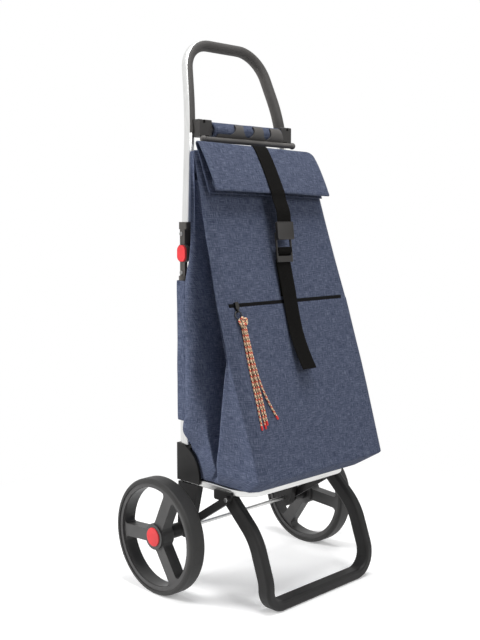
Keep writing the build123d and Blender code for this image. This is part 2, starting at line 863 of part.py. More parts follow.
def strap_upper():
    """Strap over the flap, from the ridge to the top of the buckle."""
    surface = flap_axis_out + flap_bead_radius + strap_gap + strap_thickness / 2
    hem = flap_stand_off + strap_gap + strap_thickness / 2
    strap = webbing(
        [
            panel_point(flap_axis_z, 0, surface),
            panel_point(flap_axis_z, -flap_drop - overlap, hem),
            buckle_point(buckle_half - strap_thickness, hook_plate_thickness / 2),
        ]
    )
    return strap - buckle_hook()


def buckle_hook():
    """Upper half of the buckle, a thick plate that laps over the loop."""
    plate = Box(
        buckle_width,
        hook_plate_length,
        hook_plate_thickness,
        align=(Align.CENTER, Align.MAX, Align.MIN),
    )
    plate = fillet(plate.edges().filter_by(Axis.Z), hook_corner_radius) & plate
    plate = fillet(plate.faces().sort_by(Axis.Z)[-1].edges(), hook_edge_radius)
    return buckle_frame * Pos(0, buckle_half, 0) * plate


def buckle_loop():
    """Lower half of the buckle: a frame with a window and a strap bar."""
    top = buckle_half - hook_plate_length + loop_lap
    bar_top = -buckle_half + loop_bar
    outline = Pos(0, (top - buckle_half) / 2) * RectangleRounded(buckle_width - 2, top + buckle_half, 3)
    window_width = buckle_width - 2 * loop_side
    window_top = top - loop_end
    outline -= Pos(0, (window_top + loop_cross_top) / 2) * Rectangle(
        window_width, window_top - loop_cross_top
    )
    slot_width = strap_width + 2 * strap_gap
    slot_height = loop_cross_bottom - bar_top
    outline -= Pos(0, (loop_cross_bottom + bar_top) / 2) * Rectangle(slot_width, slot_height)
    plate = extrude(outline, amount=loop_plate_thickness)
    return buckle_frame * Pos(0, 0, loop_back) * plate


def strap_tail():
    """Loose end of the strap: over the cross bar, behind the end bar and down."""
    half = strap_thickness / 2
    front = loop_front + strap_gap + half
    behind = loop_back - strap_gap - half
    bar_top = -buckle_half + loop_bar
    return webbing(
        [
            buckle_point(loop_cross_top - loop_bar_lap, front),
            buckle_point(loop_cross_bottom - loop_bar_lap, front),
            buckle_point(bar_top + 0.5, behind - half / 2),
            buckle_point(-buckle_half - 1, behind - half / 2),
            panel_point(zip_z, 0, tail_zip_off),
            panel_point(tail_rest_z, 0, tail_rest_off),
            panel_point(tail_end_z, 0, tail_end_off),
        ]
    )


def strap_anchor():
    """Short strap sewn above the zip that holds the loop of the buckle."""
    behind = loop_back - strap_gap - 2 * strap_thickness - strap_gap
    top = -buckle_half + loop_bar / 2
    sewn = zip_z + zip_width
    return webbing([buckle_point(top, behind), panel_point(sewn, 0, anchor_off)])


def zip_tape():
    """Zip across the front panel."""
    tape = Rectangle(2 * zip_half_length, zip_width)
    return extrude(panel_frame(zip_z) * tape, amount=zip_thickness)


slider_low = zip_thickness + slider_gap
lug_hole_up = -slider_length / 2 - lug_length / 2
lug_mid_out = slider_low + slider_thickness / 2
ring_frame = panel_frame(zip_z) * Pos(slider_x, lug_hole_up - ring_radius, lug_mid_out)


def zip_slider():
    """Zip slider with a drilled lug for the ring."""
    shell = Box(slider_width, slider_length, slider_thickness)
    shell = fillet(shell.edges().filter_by(Axis.Z), slider_corner_radius)
    lug = Pos(0, lug_hole_up + overlap, 0) * Box(lug_thickness, lug_length + 2 * overlap, slider_thickness)
    piece = shell + lug
    piece -= Pos(0, lug_hole_up, 0) * Rot(0, 90, 0) * Cylinder(lug_hole_radius, 2 * slider_width)
    return panel_frame(zip_z) * Pos(slider_x, 0, lug_mid_out) * piece


def puller_ring(extra=0.0):
    """Split ring through the slider's lug."""
    return ring_frame * Torus(ring_radius, ring_wire_radius + extra)


knot_bottom = lug_hole_up - 2 * ring_radius - knot_length + knot_grip
knot_frame = panel_frame(zip_z) * Pos(slider_x + knot_shift, knot_bottom + knot_length / 2, knot_lift)


def puller_knot():
    """Knot of the cords round the ring."""
    knot = Rot(90, 0, 0) * Cylinder(knot_radius, knot_length)
    knot = fillet(knot.edges().filter_by(GeomType.CIRCLE), knot_edge)
    return knot_frame * knot - puller_ring(ring_clearance)


# Each cord's points: across from the slider, up the panel, and out of it.
cord_top = knot_bottom + cord_sink
cord_routes = [
    [(2.7, cord_top, 5.2), (3.6, -80, 2.8), (2.6, -129, 2.7), (4.2, -178, 2.7), (3.6, -226, 2.7)],
    [(7.3, cord_top, 5.2), (9.2, -81, 2.8), (8.6, -131, 2.7), (11.0, -180, 2.7), (13.0, -225, 2.7)],
    [(2.7, cord_top, 9.7), (6.0, -79, 7.4), (7.2, -127, 7.3), (14.0, -176, 7.2), (18.0, -219, 3.6)],
    [(7.3, cord_top, 9.7), (10.6, -80, 7.4), (13.6, -128, 7.6), (25.0, -172, 4.6), (46.0, -213, 2.8)],
]


def cord_points(route):
    """World points of a cord's route."""
    frame = panel_frame(zip_z)
    return [frame.from_local_coords(Vector(slider_x + a, up, out)) for a, up, out in route]


def cord_strand(route):
    """Round cord along its route, with bends as wide as the runs allow."""
    points = cord_points(route)
    runs = [b - a for a, b in zip(points, points[1:])]
    radii = []
    for before, after in zip(runs, runs[1:]):
        half_turn = radians(before.get_angle(after)) / 2
        radii.append(cord_bend_share * min(before.length, after.length) / tan(half_turn))
    path = FilletPolyline(*points, radius=radii)
    return swept(path, Circle(cord_diameter / 2)) - puller_knot()


def cord_tip(route):
    """Sealed end of a cord."""
    points = cord_points(route)
    end = Plane(origin=points[-1], z_dir=points[-1] - points[-2])
    tip = Cylinder(cord_diameter / 2, tip_length, align=(Align.CENTER, Align.CENTER, Align.MIN))
    tip = fillet(tip.edges().filter_by(GeomType.CIRCLE).sort_by(Axis.Z)[-1], cord_diameter * tip_dome)
    return end * tip


os.makedirs("parts", exist_ok=True)

# Base frame
write("base_rail", base_rail())
write_pair("corner_plate", corner_plate())
write_pair("axle_bracket", axle_bracket())
button_inner_x = hub_outer_x + hub_button_stand_out - hub_button_thickness
axle_end = button_inner_x - button_travel - 2 * button_clearance
write("axle_rod", rod_x(-axle_end, axle_end, 0, axle_z, axle_radius))
spacer_ring = Circle(spacer_radius) - Circle(axle_radius + running_clearance)
spacer_outer_x = hub_inner_x - thrust_clearance
spacer = plate_x(-spacer_outer_x, -strut_outer_x - strut_gap, Pos(0, axle_z) * spacer_ring)
write_pair("axle_spacer", spacer)
write("front_stand", front_stand())
write_pair("stand_strut", stand_strut())
strut_rivet = domed_rivet(strut_outer_x, strut_pin_y, strut_pin_z, rail_half_width - saddle_half)
write_both("strut_rivets", strut_rivet)
write_pair("lower_tube", lower_tube())
write_pair("hinge_lower", hinge_lower())
write_pair("hinge_pin", hinge_pin())
low_rivet = domed_rivet(hinge_outer_x, hinge_rivet_y, hinge_rivet_low_z, hinge_layer_x)
write_both("hinge_rivets_lower", low_rivet)

# Wheels with their release buttons
write("tyre_left", tyre())
write("tyre_right", mirror(tyre(), about=Plane.YZ))
write("wheel_rim_left", wheel_rim(left_spoke_angle))
write("wheel_rim_right", mirror(wheel_rim(right_spoke_angle), about=Plane.YZ))
hub_button = round_button(
    hub_outer_x + hub_button_stand_out, hub_button_thickness, 0, axle_z, hub_button_radius, button_edge_radius
)
write_pair("hub_button", hub_button)

# Upper frame with hanger and handle
write("handle_tube", handle_tube())
write("handle_grip", handle_grip())
write_pair("hinge_upper", hinge_upper())
hinge_inner_x = hinge_layer_x - hinge_layer_gap - hinge_inner_thickness
high_rivet = domed_rivet(hinge_outer_x, hinge_rivet_y, hinge_rivet_high_z, hinge_inner_x)
write_both("hinge_rivets_upper", high_rivet)
button_face_x = hinge_outer_x + hinge_button_stand_out
hinge_button = hinge_oval(button_face_x, button_face_x - hinge_button_thickness, 0)
hinge_button = fillet(hinge_button.faces().sort_by(Axis.X)[0].edges(), button_edge_radius)
write_pair("hinge_button", hinge_button)
write_pair("hanger_block", hanger_block())
hanger_bar = rod_x(-hanger_block_inner_x, hanger_block_inner_x, hanger_y, hanger_z, hanger_bar_radius)
write("hanger_bar", hanger_bar)
write("hanger_loop", hanger_loop())
write("hanger_cover", hanger_cover())

# Bag, flap, strap and zip
write("bag_body", bag_body())
write("base_board", base_board())
write_pair("tube_sleeve", tube_sleeve())
write("bag_flap", bag_flap())
write("strap_upper", strap_upper())
write("buckle_hook", buckle_hook())
write("buckle_loop", buckle_loop())
write("strap_tail", strap_tail())
write("strap_anchor", strap_anchor())
write("zip_tape", zip_tape())
write("zip_slider", zip_slider())
write("puller_ring", puller_ring())
write("puller_knot", puller_knot())
for number, route in enumerate(cord_routes, start=1):
    write(f"pull_cord_{number}", cord_strand(route))
    write(f"cord_tip_{number}", cord_tip(route))
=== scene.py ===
from math import cos, hypot, pi, radians, sin, tau

import bmesh
import bpy
from mathutils import Matrix, Vector, noise


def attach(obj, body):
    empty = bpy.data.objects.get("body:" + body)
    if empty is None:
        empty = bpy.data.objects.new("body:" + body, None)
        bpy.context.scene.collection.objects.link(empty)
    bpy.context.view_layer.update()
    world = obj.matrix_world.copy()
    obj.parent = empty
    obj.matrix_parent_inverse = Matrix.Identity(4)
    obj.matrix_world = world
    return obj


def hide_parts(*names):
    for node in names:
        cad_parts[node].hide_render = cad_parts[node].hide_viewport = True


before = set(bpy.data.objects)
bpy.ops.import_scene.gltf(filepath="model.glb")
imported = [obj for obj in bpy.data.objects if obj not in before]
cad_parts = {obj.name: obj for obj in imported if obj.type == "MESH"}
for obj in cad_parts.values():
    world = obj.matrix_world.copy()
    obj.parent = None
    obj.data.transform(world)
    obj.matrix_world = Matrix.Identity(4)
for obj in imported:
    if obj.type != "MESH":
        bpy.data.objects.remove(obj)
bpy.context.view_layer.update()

scene = bpy.context.scene

# The picture: a camera at standing height in front and to the left of the
# trolley, a pale floor that keeps the shadow, and large soft studio lamps.
camera_data = bpy.data.cameras.new("photo_camera")
camera_data.lens = 52.58
camera_data.sensor_width = 36
camera = bpy.data.objects.new("photo_camera", camera_data)
camera.location = (-1.3524, -1.3189, 0.7287)
camera.rotation_euler = (radians(83.93), 0, radians(-44.49))
scene.collection.objects.link(camera)
scene.camera = camera
scene.view_settings.view_transform = "Standard"


def add_node(tree, kind, **inputs):
    """A shader node with some of its sockets set."""
    node = tree.nodes.new(kind)
    for socket, value in inputs.items():
        node.inputs[socket.replace("_", " ")].default_value = value
    return node


def maths(tree, operation, *values):
    """A sum on sockets and plain numbers, given back as a socket."""
    node = add_node(tree, "ShaderNodeMath")
    node.operation = operation
    for place, value in zip(node.inputs, values):
        if isinstance(value, bpy.types.NodeSocket):
            tree.links.new(value, place)
        else:
            place.default_value = value
    return node.outputs[0]


def seen_directly(tree):
    """One for rays from the camera, mirrors and glass, and zero for the rest."""
    path = add_node(tree, "ShaderNodeLightPath")
    total = path.outputs["Is Camera Ray"]
    for ray in ("Is Glossy Ray", "Is Transmission Ray"):
        total = maths(tree, "MAXIMUM", total, path.outputs[ray])
    return total


world = bpy.data.worlds.new("studio")
scene.world = world
world.use_nodes = True
tree = world.node_tree
tree.nodes.clear()
room_light = add_node(tree, "ShaderNodeBackground", Color=(1, 1, 1, 1), Strength=0.16)
white_wall = add_node(tree, "ShaderNodeBackground", Color=(1, 1, 1, 1), Strength=1.0)
choice = add_node(tree, "ShaderNodeMixShader")
output = add_node(tree, "ShaderNodeOutputWorld")
tree.links.new(seen_directly(tree), choice.inputs[0])
tree.links.new(room_light.outputs[0], choice.inputs[1])
tree.links.new(white_wall.outputs[0], choice.inputs[2])
tree.links.new(choice.outputs[0], output.inputs["Surface"])

floor_half = 7
fade_start, fade_end = 0.3, 0.95
floor_glow = 0.27
floor_bm = bmesh.new()
bmesh.ops.create_grid(floor_bm, x_segments=1, y_segments=1, size=floor_half)
floor_mesh = bpy.data.meshes.new("floor")
floor_bm.to_mesh(floor_mesh)
floor_bm.free()
floor = bpy.data.objects.new("floor", floor_mesh)
scene.collection.objects.link(floor)
floor_paint = bpy.data.materials.new("floor_paint")
floor_paint.use_nodes = True
tree = floor_paint.node_tree
tree.nodes.clear()
matt = add_node(tree, "ShaderNodeBsdfDiffuse", Color=(0.88, 0.88, 0.88, 1))
white = add_node(tree, "ShaderNodeEmission", Color=(1, 1, 1, 1), Strength=1.0)
spot = add_node(tree, "ShaderNodeTexCoord")
away = add_node(tree, "ShaderNodeVectorMath")
away.operation = "LENGTH"
tree.links.new(spot.outputs["Object"], away.inputs[0])
fade = add_node(tree, "ShaderNodeMapRange")
fade.interpolation_type = "SMOOTHSTEP"
fade.inputs["From Min"].default_value = fade_start
fade.inputs["From Max"].default_value = fade_end
tree.links.new(away.outputs["Value"], fade.inputs["Value"])
white_share = maths(tree, "MULTIPLY", fade.outputs["Result"], seen_directly(tree))
glow = add_node(tree, "ShaderNodeEmission", Color=(1, 1, 1, 1))
tree.links.new(maths(tree, "MULTIPLY", seen_directly(tree), floor_glow), glow.inputs["Strength"])
lit = add_node(tree, "ShaderNodeAddShader")
tree.links.new(matt.outputs[0], lit.inputs[0])
tree.links.new(glow.outputs[0], lit.inputs[1])
both = add_node(tree, "ShaderNodeMixShader")
output = add_node(tree, "ShaderNodeOutputMaterial")
tree.links.new(white_share, both.inputs[0])
tree.links.new(lit.outputs[0], both.inputs[1])
tree.links.new(white.outputs[0], both.inputs[2])
tree.links.new(both.outputs[0], output.inputs["Surface"])
floor_mesh.materials.append(floor_paint)


def soft_lamp(name, place, aim, size, power):
    """A square studio lamp turned towards a point."""
    data = bpy.data.lights.new(name, "AREA")
    data.size = size
    data.energy = power
    lamp = bpy.data.objects.new(name, data)
    lamp.location = place
    lamp.rotation_euler = (Vector(aim) - Vector(place)).to_track_quat("-Z", "Y").to_euler()
    scene.collection.objects.link(lamp)
    return lamp


soft_lamp("key_lamp", (-0.35, -2.75, 1.9), (0, 0, 0.5), 0.9, 29)
left_lamp = soft_lamp("left_lamp", (-2.1, 2.1, 1.4), (0, 0, 0.5), 1.2, 125)
left_lamp.visible_glossy = False
soft_lamp("top_lamp", (0.0, -0.42, 2.9), (0, 0, 0.4), 1.4, 62)


# Metal: the base rail, the axle, the frame tubes and the hanger bar are drawn
# aluminium with a satin anodised skin that is faintly streaked. The rivets and
# the hinge pins that hold them are darker plain steel.
def painted(name, colour, roughness, metallic=0.0):
    """A material with its shader, ready for texture nodes."""
    material = bpy.data.materials.new(name)
    material.use_nodes = True
    shader = material.node_tree.nodes["Principled BSDF"]
    shader.inputs["Base Color"].default_value = (*colour, 1)
    shader.inputs["Roughness"].default_value = roughness
    shader.inputs["Metallic"].default_value = metallic
    return material, material.node_tree, shader


def speckle(tree, scale, stretch=(1, 1, 1), detail=3.0, space="Object"):
    """Noise in the piece's own space, stretched along its axes."""
    spot = add_node(tree, "ShaderNodeTexCoord")
    mapping = add_node(tree, "ShaderNodeMapping", Scale=stretch)
    grain = add_node(tree, "ShaderNodeTexNoise", Scale=scale, Detail=detail)
    tree.links.new(spot.outputs[space], mapping.inputs["Vector"])
    tree.links.new(mapping.outputs["Vector"], grain.inputs["Vector"])
    return grain.outputs["Fac"]


def shade(tree, source, *stops):
    """Colours along a ramp, driven by a grey value."""
    ramp = add_node(tree, "ShaderNodeValToRGB")
    ramp.color_ramp.elements[0].position = stops[0][0]
    ramp.color_ramp.elements[0].color = (*stops[0][1], 1)
    ramp.color_ramp.elements[1].position = stops[-1][0]
    ramp.color_ramp.elements[1].color = (*stops[-1][1], 1)
    for place, colour in stops[1:-1]:
        ramp.color_ramp.elements.new(place).color = (*colour, 1)
    tree.links.new(source, ramp.inputs["Fac"])
    return ramp.outputs["Color"]


def spread(tree, source, low, high, held=(0.0, 1.0)):
    """A grey value moved from one range into another."""
    scale = add_node(tree, "ShaderNodeMapRange")
    scale.inputs["From Min"].default_value = held[0]
    scale.inputs["From Max"].default_value = held[1]
    scale.inputs["To Min"].default_value = low
    scale.inputs["To Max"].default_value = high
    tree.links.new(source, scale.inputs["Value"])
    return scale.outputs["Result"]


def relief(tree, shader, source, strength, depth):
    """Bump on a shader, over any bump that is already there."""
    bump = add_node(tree, "ShaderNodeBump", Strength=strength, Distance=depth)
    tree.links.new(source, bump.inputs["Height"])
    if shader.inputs["Normal"].is_linked:
        tree.links.new(shader.inputs["Normal"].links[0].from_socket, bump.inputs["Normal"])
    tree.links.new(bump.outputs["Normal"], shader.inputs["Normal"])


def satin_metal(name, colour, rough_low, rough_high, stretch):
    """Drawn metal whose gloss is streaked along its length."""
    material, tree, shader = painted(name, colour, rough_low, 1.0)
    streaks = speckle(tree, 60, stretch)
    tree.links.new(spread(tree, streaks, rough_low, rough_high), shader.inputs["Roughness"])
    darker = tuple(0.86 * part for part in colour)
    tree.links.new(shade(tree, streaks, (0.3, darker), (0.7, colour)), shader.inputs["Base Color"])
    relief(tree, shader, streaks, 0.06, 0.0004)
    return material


def dress(material, *nodes):
    """Give a finish to pieces whose shape is right as it is."""
    for name in nodes:
        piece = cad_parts[name]
        for place in piece.material_slots:
            place.material = material


def pair(name):
    """The left and right piece of one kind."""
    return name + "_left", name + "_right"


upright_metal = satin_metal("satin_tube", (0.80, 0.80, 0.79), 0.24, 0.40, (6, 6, 0.25))
level_metal = satin_metal("satin_rail", (0.80, 0.80, 0.79), 0.22, 0.38, (0.4, 0.4, 6))
steel = satin_metal("plain_steel", (0.30, 0.30, 0.30), 0.26, 0.40, (4, 4, 4))
dress(upright_metal, "handle_tube", *pair("lower_tube"))
dress(level_metal, "base_rail", "axle_rod", "hanger_bar")
dress(steel, "strut_rivets", "hinge_rivets_lower", "hinge_rivets_upper", *pair("hinge_pin"))


# Moulded pieces: the stand, struts, brackets, spacers, corner plates, hinges,
# hanger blocks and clip cover are glass-filled nylon with a fine spark-eroded
# grain. The board that lies in the bottom of the bag is plain plastic.
def moulded(name, colour, roughness, grain=1400.0, depth=0.00012, shine=0.32):
    """Grained plastic or rubber, a little uneven in tone and gloss."""
    material, tree, shader = painted(name, colour, roughness)
    shader.inputs["Specular IOR Level"].default_value = shine
    cloud = speckle(tree, 14, detail=4.0)
    low = tuple(0.80 * part for part in colour)
    high = tuple(min(1.0, 1.22 * part) for part in colour)
    tree.links.new(shade(tree, cloud, (0.3, low), (0.7, high)), shader.inputs["Base Color"])
    pits = speckle(tree, grain, detail=1.5)
    gloss = spread(tree, pits, roughness - 0.08, roughness + 0.1)
    tree.links.new(gloss, shader.inputs["Roughness"])
    relief(tree, shader, pits, 0.35, depth)
    return material


nylon = moulded("grained_nylon", (0.0130, 0.0126, 0.0126), 0.44, shine=0.22)
dress(nylon, "front_stand", *pair("stand_strut"), *pair("axle_bracket"), *pair("axle_spacer"))
dress(nylon, *pair("corner_plate"))
hinge_nylon = moulded("hinge_nylon", (0.048, 0.044, 0.041), 0.42)
dress(hinge_nylon, *pair("hinge_lower"), *pair("hinge_upper"))
dress(moulded("block_nylon", (0.026, 0.0245, 0.0235), 0.42), *pair("hanger_block"))
dress(moulded("cover_nylon", (0.075, 0.071, 0.068), 0.46), "hanger_cover")
dress(moulded("board_plastic", (0.05, 0.05, 0.05), 0.6), "base_board")

# Wheels: a black rubber tyre pressed on a grey moulded rim with broad spokes,
# and a red push button in the hub that lets the wheel off the axle. The push
# buttons of the folding hinges are of the same red plastic.
dress(moulded("tyre_rubber", (0.026, 0.0255, 0.025), 0.55, 700.0, 0.0002), *pair("tyre"))
dress(moulded("rim_nylon", (0.050, 0.049, 0.049), 0.40), *pair("wheel_rim"))
red = moulded("red_button", (0.56, 0.040, 0.045), 0.34, 1800.0, 0.00005, 0.20)
dress(red, *pair("hub_button"), *pair("hinge_button"))

# Handle grip: a soft grey rubber cover moulded over the front and the inside
# of the handle tube, with a dry, finely pored surface.
dress(moulded("grip_rubber", (0.048, 0.045, 0.043), 0.56, 900.0, 0.0002), "handle_grip")


# Bag: heavy melange canvas, sewn to a wedge with pleated sides that fold
# inwards, standing on the base rail and open under the flap at the front.
def canvas(name, dark, middle, light):
    """Melange canvas: slubbed threads both ways over a plain weave."""
    material, tree, shader = painted(name, middle, 0.86)
    shader.inputs["Specular IOR Level"].default_value = 0.12
    crosswise = speckle(tree, 1.0, (60, 1000, 1), 2.0, "UV")
    lengthwise = speckle(tree, 1.0, (1000, 75, 1), 2.0, "UV")
    cloud = speckle(tree, 1.0, (30, 60, 1), 2.0, "UV")
    slubs = maths(tree, "ADD", crosswise, lengthwise)
    cloud_share = 0.16
    mixed = maths(tree, "MULTIPLY_ADD", cloud, cloud_share, slubs)
    value = spread(tree, mixed, 0.0, 1.0, (0.72, 1.44))
    colour = shade(tree, value, (0.12, dark), (0.5, middle), (0.88, light))
    tree.links.new(colour, shader.inputs["Base Color"])
    for axis in ("X", "Y"):
        spot = add_node(tree, "ShaderNodeTexCoord")
        threads = add_node(tree, "ShaderNodeTexWave", Scale=420, Distortion=1.0, Detail=1)
        threads.bands_direction = axis
        tree.links.new(spot.outputs["UV"], threads.inputs["Vector"])
        relief(tree, shader, threads.outputs["Fac"], 0.22, 0.0003)
    relief(tree, shader, slubs, 0.30, 0.0005)
    return material


denim = canvas("denim_canvas", (0.030, 0.038, 0.066), (0.064, 0.077, 0.122), (0.125, 0.143, 0.20))


def mapped_grid(columns, rows, place, measure):
    """A grid whose points are put in place one by one, with its cloth lengths as UV."""
    bm = bmesh.new()
    uv = bm.loops.layers.uv.new("cloth")
    bmesh.ops.create_grid(bm, x_segments=columns, y_segments=rows, size=0.5)
    spots = {v: (round((v.co.x + 0.5) * columns), round((v.co.y + 0.5) * rows)) for v in bm.verts}
    for face in bm.faces:
        for loop in face.loops:
            loop[uv].uv = measure(*spots[loop.vert])
    for vert, spot in spots.items():
        vert.co = place(*spot)
    bmesh.ops.remove_doubles(bm, verts=bm.verts, dist=0.00001)
    bmesh.ops.recalc_face_normals(bm, faces=bm.faces)
    return bm


def piece_from(bm, name, material, body, slot, *nodes):
    """Turn a mesh into a named piece that rides on a body and stands for nodes."""
    mesh = bpy.data.meshes.new(name)
    bm.to_mesh(mesh)
    bm.free()
    for polygon in mesh.polygons:
        polygon.use_smooth = True
    mesh.materials.append(material)
    piece = bpy.data.objects.new(name, mesh)
    scene.collection.objects.link(piece)
    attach(piece, body)
    if nodes:
        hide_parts(*nodes)
    return piece


def thicken(piece, thickness, rounds=1, offset=-1.0):
    """Cloth thickness on a sheet, and rounds of smoothing."""
    wall = piece.modifiers.new("thickness", "SOLIDIFY")
    wall.thickness = thickness
    wall.offset = offset
    if rounds:
        smooth = piece.modifiers.new("smooth", "SUBSURF")
        smooth.levels = rounds
        smooth.render_levels = rounds


def along(table, value):
    """Straight-line reading of a table of rows that start with their place."""
    for low, high in zip(table, table[1:]):
        if value <= high[0]:
            share = max(0.0, (value - low[0]) / (high[0] - low[0]))
            return [a + share * (b - a) for a, b in zip(low[1:], high[1:])]
    return list(table[-1][1:])


def lengths_along(points):
    """How far along a line each of its points is."""
    reach = [0.0]
    for low, high in zip(points, points[1:]):
        reach.append(reach[-1] + hypot(*(b - a for a, b in zip(low, high))))
    return reach


axle_y = 0.061
bag_bottom = 0.222
bag_fold = 0.252
bag_top = 0.870
top_depth = 0.050
panel_slope = 0.29421
panel_up = Vector((0, panel_slope, 1)).normalized()
panel_out = Vector((0, -1, panel_slope)).normalized()


def panel_y(z):
    """Y of the bag's flat front at a height."""
    return axle_y - top_depth - panel_slope * (bag_top - z)


def on_panel(z, across, up, out):
    """A point given across, up and out of the bag's front."""
    return Vector((across, panel_y(z), z)) + up * panel_up + out * panel_out


side_form = [
    # height, left edge, right edge, back fold x and y, pocket x and y, front fold x and y
    (bag_bottom, 0.1500, 0.152, 0.1500, 0.070, 0.1490, 0.080, 0.1510, 0.100),
    (0.236, 0.1600, 0.170, 0.1540, 0.085, 0.1510, 0.093, 0.1620, 0.109),
    (bag_fold, 0.1670, 0.187, 0.1580, 0.098, 0.1480, 0.103, 0.1710, 0.115),
    (0.270, 0.1665, 0.187, 0.1600, 0.092, 0.1320, 0.095, 0.1730, 0.113),
    (0.310, 0.1690, 0.187, 0.1600, 0.081, 0.1080, 0.084, 0.1765, 0.124),
    (0.350, 0.1715, 0.187, 0.1600, 0.073, 0.0930, 0.076, 0.1790, 0.131),
    (0.393, 0.1745, 0.187, 0.1600, 0.063, 0.0840, 0.069, 0.1805, 0.138),
    (0.440, 0.1770, 0.186, 0.1590, 0.053, 0.0800, 0.062, 0.1820, 0.1465),
    (0.475, 0.1805, 0.184, 0.1590, 0.047, 0.0800, 0.057, 0.1825, 0.1540),
    (0.537, 0.1815, 0.1805, 0.1580, 0.036, 0.0840, 0.049, 0.1820, 0.1355),
    (0.575, 0.1810, 0.178, 0.1570, 0.040, 0.0880, 0.045, 0.1810, 0.1240),
    (0.615, 0.1785, 0.174, 0.1560, 0.043, 0.0950, 0.042, 0.1785, 0.1125),
    (0.650, 0.1760, 0.171, 0.1500, 0.030, 0.1000, 0.037, 0.1760, 0.1020),
    (0.720, 0.1715, 0.166, 0.1465, 0.021, 0.1120, 0.032, 0.1715, 0.0820),
    (0.800, 0.1660, 0.162, 0.1470, 0.024, 0.1300, 0.034, 0.1660, 0.0580),
    (bag_top, 0.1600, 0.160, 0.1470, 0.027, 0.1470, 0.031, 0.1600, 0.0375),
]
back_corner = [
    # height, x and y of the corner that lies on the tube's sleeve
    (bag_bottom, 0.1470, 0.0155),
    (0.296, 0.1475, 0.0150),
    (0.302, 0.1620, 0.0042),
    (0.332, 0.1625, 0.0040),
    (0.344, 0.1605, 0.0118),
    (0.378, 0.1605, 0.0118),
    (0.478, 0.1595, 0.0116),
    (0.606, 0.1590, 0.0112),
    (0.630, 0.1560, 0.0125),
    (0.649, 0.1510, 0.0140),
    (0.672, 0.1490, 0.0150),
    (0.691, 0.1465, 0.0150),
    (0.722, 0.1462, 0.0150),
    (bag_top, 0.1470, 0.0155),
]
front_line = [(bag_bottom, 0.188), (bag_fold, 0.2318), (bag_top, top_depth)]
back_depth = 0.0155
left_turn_x, left_turn_y = 0.017, 0.0105
right_turn_x, right_turn_y, right_swell = 0.006, 0.004, 0.004
bag_rim = 0.8625
canvas_thickness = 0.0022
bag_rows = [bag_bottom, 0.2235, 0.231, 0.241, 0.2495, bag_fold, 0.2545]
bag_rows += [0.262 + 0.01235 * step for step in range(25)]
bag_rows += [0.565, 0.5685, 0.570, 0.5715, 0.575]
bag_rows += [0.587 + 0.01225 * step for step in range(23)]
bag_rows += [0.8610, bag_rim]
long_run = [0.0, 0.03, 0.12, 0.25, 0.38, 0.5, 0.62, 0.75, 0.88, 0.97]
short_run = [0.0, 0.12, 0.34, 0.66, 0.88]
bag_runs = [long_run] + 5 * [short_run] + 2 * [long_run] + 5 * [short_run] + [long_run]
last_run = len(bag_runs)
bag_columns = [(run, share) for run, shares in enumerate(bag_runs) for share in shares]
bag_columns.append((last_run, 0.0))
left_pleat, right_pleat = (1, 2), (11, 12)
side_runs = (1, 2, 3, 4, 9, 10, 11, 12)
front_runs = (6, 7)
pocket_runs = (5, 6, 7, 8)
seam_z = 0.570
pocket_lip = 0.5695
pleat_start, pleat_rise = 0.27, 0.06
side_slack = 0.006
front_sag = 0.0016
pocket_swell = 0.0016


def bag_corners(z):
    """Corner points of the bag's outline at a height, from the middle of the back round."""
    left, right, tuck_x, tuck_y, pocket_x, pocket_y, fold_x, fold_y = along(side_form, z)
    corner_x, corner_y = along(back_corner, z)
    (front,) = along(front_line, z)
    left_side = [
        (-corner_x, -corner_y),
        (-tuck_x, -tuck_y),
        (-pocket_x, -pocket_y),
        (-fold_x, -fold_y),
        (-left, -front + left_turn_y),
        (-left + left_turn_x, -front),
    ]
    right_side = [
        (right - right_turn_x, -front),
        (right + right_swell, -front + right_turn_y),
        (right + min(0.0, fold_x - left), -fold_y),
        (pocket_x, -pocket_y),
        (tuck_x, -tuck_y),
        (corner_x, -corner_y),
    ]
    back = [(0.0, -back_depth)]
    ring = back + left_side + [(0.0, -front)] + right_side + back
    return [(x, axle_y + y) for x, y in ring]


def pleat_roll(corners, run, share):
    """A point on the soft roll of cloth behind the pleat's pocket."""
    start = left_pleat[0] if run in left_pleat else right_pleat[0]
    first, middle, last = (Vector(corner) for corner in corners[start : start + 3])
    turn = 0.5 * (run - start + share)
    pull = middle + 0.125 * (2 * middle - first - last)
    return (1 - turn) ** 2 * first + 2 * turn * (1 - turn) * pull + turn ** 2 * last


def bag_point(column, row):
    """A point of the bag, with the slack of the cloth."""
    z = bag_rows[row]
    run, share = bag_columns[column]
    corners = bag_corners(z)
    ax, ay = corners[run]
    bx, by = corners[min(run + 1, last_run)]
    x = ax + share * (bx - ax)
    y = ay + share * (by - ay)
    if run in left_pleat + right_pleat:
        loose = min(1.0, max(0.0, (z - pleat_start) / pleat_rise))
        x, y = Vector((x, y)).lerp(pleat_roll(corners, run, share), loose)
    length = hypot(bx - ax, by - ay) or 1.0
    outward = Vector((-(by - ay) / length, (bx - ax) / length, 0))
    bulge = 0.0
    if run in side_runs:
        slack = side_slack * sin(pi * share)
        slack *= min(1.0, (z - bag_bottom) / 0.08) * min(1.0, (bag_top - z) / 0.10)
        bulge = slack * (0.25 + 1.5 * noise.noise(Vector((x * 13, y * 13, z * 8))))
    elif run in front_runs:
        rise = min(1.0, (z - bag_bottom) / 0.1)
        bulge = -front_sag * rise * (0.5 + 0.5 * noise.noise(Vector((x * 7, z * 7, 3.1))))
        bulge *= min(1.0, abs(z - seam_z) / 0.03)
    if run in pocket_runs and z < pocket_lip:
        bulge -= pocket_swell * max(0.0, 1 - (pocket_lip - z) / 0.09)
    return Vector((x, y, z)) + bulge * outward


